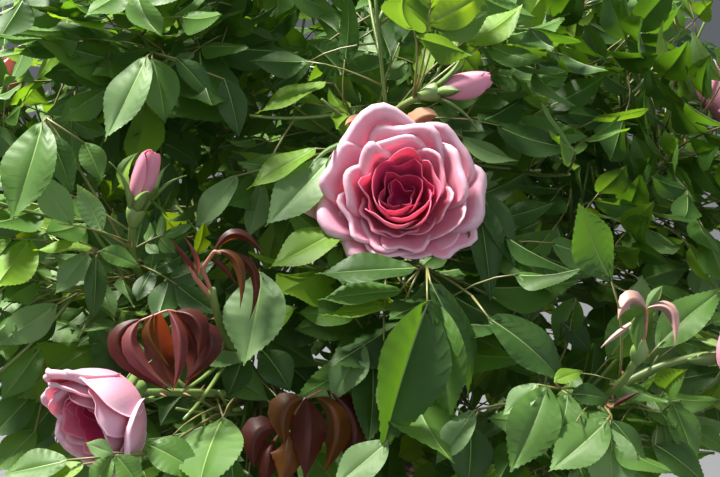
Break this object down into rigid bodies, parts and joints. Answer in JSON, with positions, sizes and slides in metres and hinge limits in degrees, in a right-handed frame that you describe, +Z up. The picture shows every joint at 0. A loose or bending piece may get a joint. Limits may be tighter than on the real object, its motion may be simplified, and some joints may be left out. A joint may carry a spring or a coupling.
{
  "type": "potted garden rose bush",
  "caption": "Garden rose bush with full pink cabbage blooms, buds and arching leafy canes, growing from a knob of bark in a round black nursery pot of bark compost.",
  "frame": {"origin": "middle of the pot's flat underside", "axes": "+Z up, -Y towards the bush's front with the large open bloom, +X to the right as seen from the front"},
  "size_m": [0.6433, 0.7174, 0.7733],
  "materials": {
    "pot": "satin",
    "soil": "matte",
    "bark": "matte",
    "cane": "satin",
    "leaf": "satin",
    "young_leaf": "satin",
    "petal": "satin"
  },
  "bodies": {
    "root": {"nursery_pot": "pot", "potting_soil": "soil", "bud_union": "bark", "cane_front": "cane", "foliage_front": "leaf", "cane_front_right": "cane", "foliage_front_right": "leaf", "cane_front_left": "cane", "foliage_front_left": "leaf", "cane_left_bud": "cane", "foliage_left_bud": "leaf", "cane_tall_left": "cane", "foliage_tall_left": "leaf", "cane_centre": "cane", "foliage_centre": "leaf", "cane_back": "cane", "foliage_back": "leaf", "cane_low_left": "cane", "foliage_low_left": "leaf", "cane_top_bud": "cane", "foliage_top_bud": "leaf", "cane_left": "cane", "foliage_left": "leaf", "cane_right": "cane", "foliage_right": "leaf", "cane_back_right": "cane", "foliage_back_right": "leaf", "cane_back_left": "cane", "foliage_back_left": "leaf", "cane_low_back": "cane", "foliage_low_back": "leaf"}
  },
  "joints": []
}
